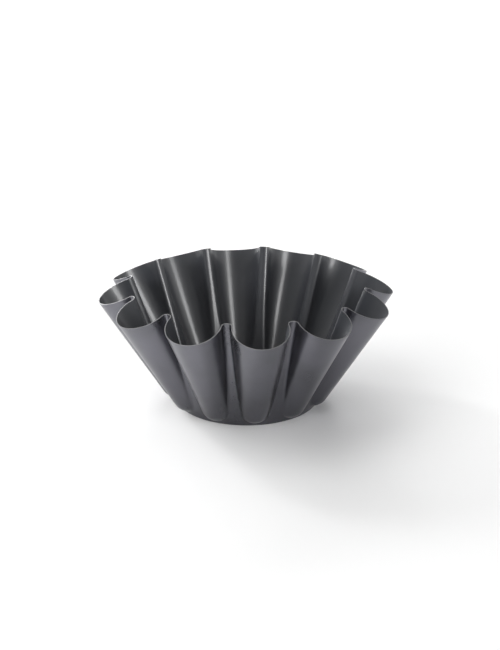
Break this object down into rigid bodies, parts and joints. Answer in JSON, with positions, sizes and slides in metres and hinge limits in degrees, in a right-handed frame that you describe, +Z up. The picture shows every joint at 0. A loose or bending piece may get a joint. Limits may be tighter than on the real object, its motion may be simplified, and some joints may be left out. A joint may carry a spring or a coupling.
{
  "type": "brioche mould",
  "caption": "Fluted non-stick brioche mould: a pressed steel cup that flares from a flat round base to a scalloped rim.",
  "frame": {"origin": "centre of the underside of the flat base, on the surface that the mould stands on", "axes": "+Z up along the mould's axis, from the base to the open rim; +X and +Y each point along the middle of a flute"},
  "size_m": [0.22, 0.22, 0.0922],
  "materials": {
    "bare_steel": "bare cut edge of the pressed sheet, seen only as a thin light line round the rim",
    "inner_film": "dark grey non-stick film, semi-gloss, with soft long highlights",
    "outer_film": "dark grey non-stick film, satin, slightly blue-violet"
  },
  "bodies": {
    "root": {"steel_shell": "bare_steel", "inner_coating": "inner_film", "outer_coating": "outer_film"}
  },
  "joints": []
}
